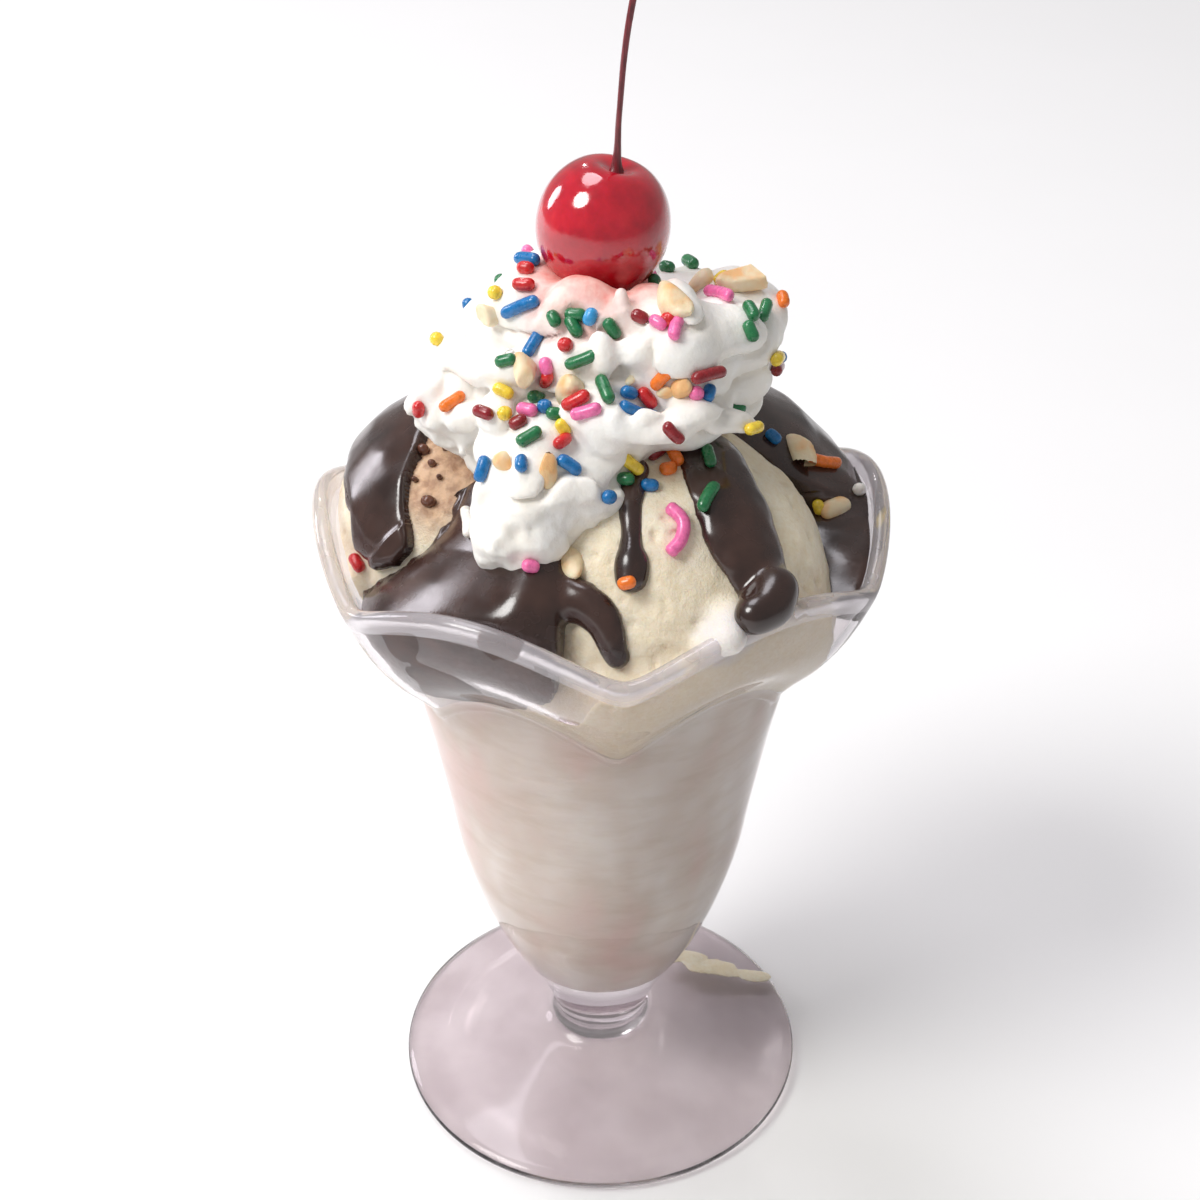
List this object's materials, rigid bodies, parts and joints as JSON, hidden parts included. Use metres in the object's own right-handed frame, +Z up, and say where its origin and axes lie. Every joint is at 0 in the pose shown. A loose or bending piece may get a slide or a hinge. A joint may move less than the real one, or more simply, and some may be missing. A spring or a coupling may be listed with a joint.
{
  "type": "ice cream sundae",
  "caption": "Vanilla ice cream sundae with hot fudge, whipped cream, sprinkles, nuts and a cherry in a scalloped, footed glass.",
  "frame": {"origin": "centre of the glass foot's underside, on the plane it stands on", "axes": "+Z up through the glass and the cherry, -Y towards the front"},
  "size_m": [0.1018, 0.104, 0.2321],
  "materials": {
    "glass": "clear pressed glass",
    "ice_cream": "soft frozen vanilla ice cream",
    "fudge": "wet glossy chocolate sauce",
    "whipped_cream": "soft satin whipped cream",
    "cherry": "wet glossy candied cherry",
    "cherry_stem": "dyed woody stem",
    "sprinkles": "sugar rods in eight colours",
    "nuts": "chopped, dry nuts"
  },
  "bodies": {
    "root": {"glass": "glass", "ice_cream_fill": "ice_cream", "scoop_front": "ice_cream", "scoop_left": "ice_cream", "scoop_back": "ice_cream", "fudge_left": "fudge", "fudge_back": "fudge", "fudge_short_drip": "fudge", "fudge_wide_drip": "fudge", "whipped_cream": "whipped_cream", "cherry": "cherry", "cherry_stem": "cherry_stem"}
  },
  "joints": []
}
